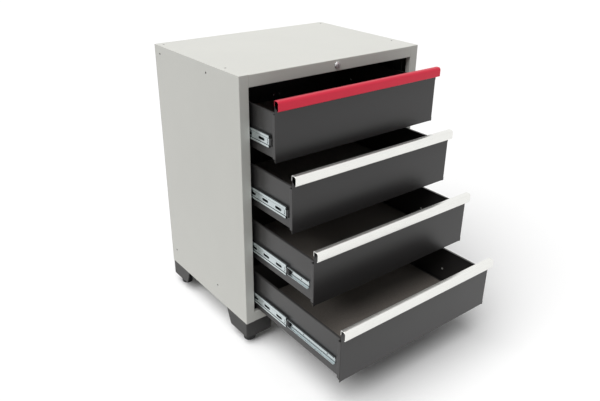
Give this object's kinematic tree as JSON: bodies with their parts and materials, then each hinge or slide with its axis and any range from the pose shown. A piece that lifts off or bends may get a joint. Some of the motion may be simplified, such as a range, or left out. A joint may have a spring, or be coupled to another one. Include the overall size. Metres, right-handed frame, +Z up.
{
  "type": "tool cabinet",
  "caption": "Free-standing steel tool cabinet with full-width drawers on ball-bearing slides, aluminium pulls, a central lock and levelling feet.",
  "frame": {"origin": "bottom centre of the bounding box at rest: on the floor, midway between the left and right sides and between the lowest drawer's pull and the screw heads on the back", "axes": "+X to the cabinet's right as seen from in front, +Y from the front to the back, +Z up"},
  "size_m": [0.7112, 0.9574, 0.92],
  "materials": {
    "light_paint": "satin",
    "charcoal_paint": "satin",
    "bracket_paint": "satin",
    "zinc_steel": "satin",
    "chrome": "polished",
    "red_aluminium": "anodised",
    "silver_aluminium": "anodised",
    "black_plastic": "matte",
    "foot_plastic": "matte",
    "liner_rubber": "matte"
  },
  "bodies": {
    "cabinet": {"side_panel_left": "light_paint", "side_panel_right": "light_paint", "top_panel": "light_paint", "bottom_panel": "light_paint", "back_panel": "light_paint", "panel_screws": "zinc_steel", "slide_posts": "charcoal_paint", "foot_bracket_front_left": "bracket_paint", "foot_bracket_front_right": "bracket_paint", "foot_bracket_rear_left": "bracket_paint", "foot_bracket_rear_right": "bracket_paint", "lock_housing": "chrome", "lock_guides": "black_plastic", "drawer_1_cabinet_rails": "zinc_steel", "drawer_2_cabinet_rails": "zinc_steel", "drawer_3_cabinet_rails": "zinc_steel", "drawer_4_cabinet_rails": "zinc_steel"},
    "foot_front_left": {"levelling_foot_front_left": "foot_plastic"},
    "foot_front_right": {"levelling_foot_front_right": "foot_plastic"},
    "foot_rear_left": {"levelling_foot_rear_left": "foot_plastic"},
    "foot_rear_right": {"levelling_foot_rear_right": "foot_plastic"},
    "lock_plug": {"lock_plug": "chrome", "lock_rod": "zinc_steel"},
    "lock_bar": {"lock_bar": "zinc_steel"},
    "middle_1": {"drawer_1_middle_rails": "zinc_steel", "drawer_1_rail_bumpers": "black_plastic"},
    "drawer_1": {"drawer_1_box": "charcoal_paint", "drawer_1_front": "charcoal_paint", "drawer_1_handle": "red_aluminium", "drawer_1_liner": "liner_rubber", "drawer_1_drawer_rails": "zinc_steel"},
    "outer_cages_1": {"drawer_1_outer_ball_cages": "zinc_steel"},
    "inner_cages_1": {"drawer_1_inner_ball_cages": "zinc_steel"},
    "middle_2": {"drawer_2_middle_rails": "zinc_steel", "drawer_2_rail_bumpers": "black_plastic"},
    "drawer_2": {"drawer_2_box": "charcoal_paint", "drawer_2_front": "charcoal_paint", "drawer_2_handle": "silver_aluminium", "drawer_2_liner": "liner_rubber", "drawer_2_drawer_rails": "zinc_steel"},
    "outer_cages_2": {"drawer_2_outer_ball_cages": "zinc_steel"},
    "inner_cages_2": {"drawer_2_inner_ball_cages": "zinc_steel"},
    "middle_3": {"drawer_3_middle_rails": "zinc_steel", "drawer_3_rail_bumpers": "black_plastic"},
    "drawer_3": {"drawer_3_box": "charcoal_paint", "drawer_3_front": "charcoal_paint", "drawer_3_handle": "silver_aluminium", "drawer_3_liner": "liner_rubber", "drawer_3_drawer_rails": "zinc_steel"},
    "outer_cages_3": {"drawer_3_outer_ball_cages": "zinc_steel"},
    "inner_cages_3": {"drawer_3_inner_ball_cages": "zinc_steel"},
    "middle_4": {"drawer_4_middle_rails": "zinc_steel", "drawer_4_rail_bumpers": "black_plastic"},
    "drawer_4": {"drawer_4_box": "charcoal_paint", "drawer_4_front": "charcoal_paint", "drawer_4_handle": "silver_aluminium", "drawer_4_liner": "liner_rubber", "drawer_4_drawer_rails": "zinc_steel"},
    "outer_cages_4": {"drawer_4_outer_ball_cages": "zinc_steel"},
    "inner_cages_4": {"drawer_4_inner_ball_cages": "zinc_steel"}
  },
  "joints": [
    {"name": "foot_front_left_screw", "type": "slide", "parent": "cabinet", "child": "foot_front_left", "axis": [0, 0, -1], "range_m": [0, 0.025]},
    {"name": "foot_front_right_screw", "type": "slide", "parent": "cabinet", "child": "foot_front_right", "axis": [0, 0, -1], "range_m": [0, 0.025]},
    {"name": "foot_rear_left_screw", "type": "slide", "parent": "cabinet", "child": "foot_rear_left", "axis": [0, 0, -1], "range_m": [0, 0.025]},
    {"name": "foot_rear_right_screw", "type": "slide", "parent": "cabinet", "child": "foot_rear_right", "axis": [0, 0, -1], "range_m": [0, 0.025]},
    {"name": "lock_turn", "type": "hinge", "parent": "cabinet", "child": "lock_plug", "pos_m": [0, -0.0385, 0.9015], "axis": [0, -1, 0], "range_deg": [0, 90]},
    {"name": "lock_bar_lift", "type": "slide", "parent": "cabinet", "child": "lock_bar", "axis": [0, 0, 1], "range_m": [0, 0.012]},
    {"name": "middle_1_slide", "type": "slide", "parent": "cabinet", "child": "middle_1", "axis": [0, -1, 0], "range_m": [-0.12, 0.08]},
    {"name": "drawer_1_slide", "type": "slide", "parent": "middle_1", "child": "drawer_1", "axis": [0, -1, 0], "range_m": [0, 0.25]},
    {"name": "outer_cages_1_roll", "type": "slide", "parent": "cabinet", "child": "outer_cages_1", "axis": [0, -1, 0], "range_m": [-0.06, 0.04]},
    {"name": "inner_cages_1_roll", "type": "slide", "parent": "middle_1", "child": "inner_cages_1", "axis": [0, -1, 0], "range_m": [0, 0.125]},
    {"name": "middle_2_slide", "type": "slide", "parent": "cabinet", "child": "middle_2", "axis": [0, -1, 0], "range_m": [-0.199, 0.001]},
    {"name": "drawer_2_slide", "type": "slide", "parent": "middle_2", "child": "drawer_2", "axis": [0, -1, 0], "range_m": [0, 0.25]},
    {"name": "outer_cages_2_roll", "type": "slide", "parent": "cabinet", "child": "outer_cages_2", "axis": [0, -1, 0], "range_m": [-0.0995, 0.0005]},
    {"name": "inner_cages_2_roll", "type": "slide", "parent": "middle_2", "child": "inner_cages_2", "axis": [0, -1, 0], "range_m": [0, 0.125]},
    {"name": "middle_3_slide", "type": "slide", "parent": "cabinet", "child": "middle_3", "axis": [0, -1, 0], "range_m": [-0.2, 0]},
    {"name": "drawer_3_slide", "type": "slide", "parent": "middle_3", "child": "drawer_3", "axis": [0, -1, 0], "range_m": [-0.0996, 0.1504]},
    {"name": "outer_cages_3_roll", "type": "slide", "parent": "cabinet", "child": "outer_cages_3", "axis": [0, -1, 0], "range_m": [-0.1, 0]},
    {"name": "inner_cages_3_roll", "type": "slide", "parent": "middle_3", "child": "inner_cages_3", "axis": [0, -1, 0], "range_m": [-0.0498, 0.0752]},
    {"name": "middle_4_slide", "type": "slide", "parent": "cabinet", "child": "middle_4", "axis": [0, -1, 0], "range_m": [-0.2, 0]},
    {"name": "drawer_4_slide", "type": "slide", "parent": "middle_4", "child": "drawer_4", "axis": [0, -1, 0], "range_m": [-0.2235, 0.0265]},
    {"name": "outer_cages_4_roll", "type": "slide", "parent": "cabinet", "child": "outer_cages_4", "axis": [0, -1, 0], "range_m": [-0.1, 0]},
    {"name": "inner_cages_4_roll", "type": "slide", "parent": "middle_4", "child": "inner_cages_4", "axis": [0, -1, 0], "range_m": [-0.11175, 0.01325]}
  ],
  "couplings": [
    {"joint": "lock_turn", "follows": "lock_bar_lift", "rad_per_m": 130.89},
    {"joint": "outer_cages_1_roll", "follows": "middle_1_slide", "ratio": 0.5},
    {"joint": "inner_cages_1_roll", "follows": "drawer_1_slide", "ratio": 0.5},
    {"joint": "outer_cages_2_roll", "follows": "middle_2_slide", "ratio": 0.5},
    {"joint": "inner_cages_2_roll", "follows": "drawer_2_slide", "ratio": 0.5},
    {"joint": "outer_cages_3_roll", "follows": "middle_3_slide", "ratio": 0.5},
    {"joint": "inner_cages_3_roll", "follows": "drawer_3_slide", "ratio": 0.5},
    {"joint": "outer_cages_4_roll", "follows": "middle_4_slide", "ratio": 0.5},
    {"joint": "inner_cages_4_roll", "follows": "drawer_4_slide", "ratio": 0.5}
  ]
}
